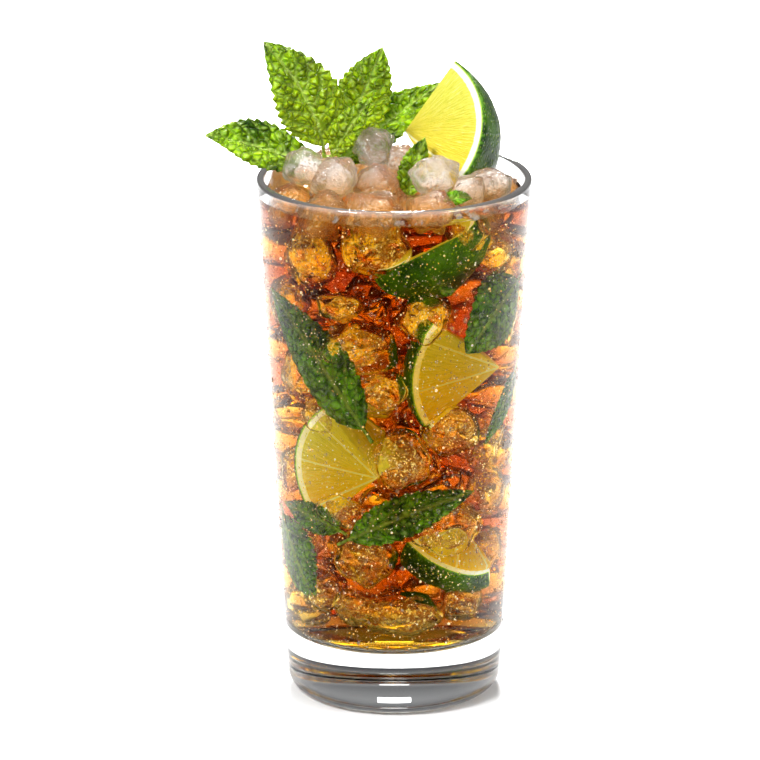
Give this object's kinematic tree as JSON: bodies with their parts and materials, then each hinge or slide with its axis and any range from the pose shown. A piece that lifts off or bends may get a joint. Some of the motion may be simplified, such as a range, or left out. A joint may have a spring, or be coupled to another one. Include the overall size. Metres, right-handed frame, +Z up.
{
  "type": "mojito cocktail in a highball glass",
  "caption": "Tall amber iced drink in a clear tapered glass with a thick base, topped with ice lumps, a lime wedge and a mint sprig.",
  "frame": {"origin": "centre of the glass's foot, on the surface it stands on", "axes": "+Z up along the glass's axis; -Y faces the viewer"},
  "size_m": [0.0924, 0.078, 0.1904],
  "materials": {
    "glass": "clear, polished",
    "drink": "clear amber liquid",
    "ice": "wet, cloudy in the middle",
    "lime": "wet pulp, waxy dark green rind",
    "mint": "satin leaf"
  },
  "bodies": {
    "root": {"glass": "glass", "drink": "drink", "lime_wedge": "lime", "mint_sprig": "mint", "mint_leaf": "mint", "ice_1": "ice", "ice_2": "ice", "ice_3": "ice", "ice_4": "ice", "ice_5": "ice", "ice_6": "ice", "ice_7": "ice", "ice_8": "ice", "ice_9": "ice", "ice_10": "ice", "ice_11": "ice", "ice_12": "ice", "ice_13": "ice", "ice_14": "ice", "ice_15": "ice", "ice_16": "ice", "ice_17": "ice", "ice_18": "ice", "ice_19": "ice", "ice_20": "ice", "ice_21": "ice", "ice_22": "ice", "ice_23": "ice", "ice_24": "ice", "ice_25": "ice", "ice_26": "ice", "ice_27": "ice"}
  },
  "joints": []
}
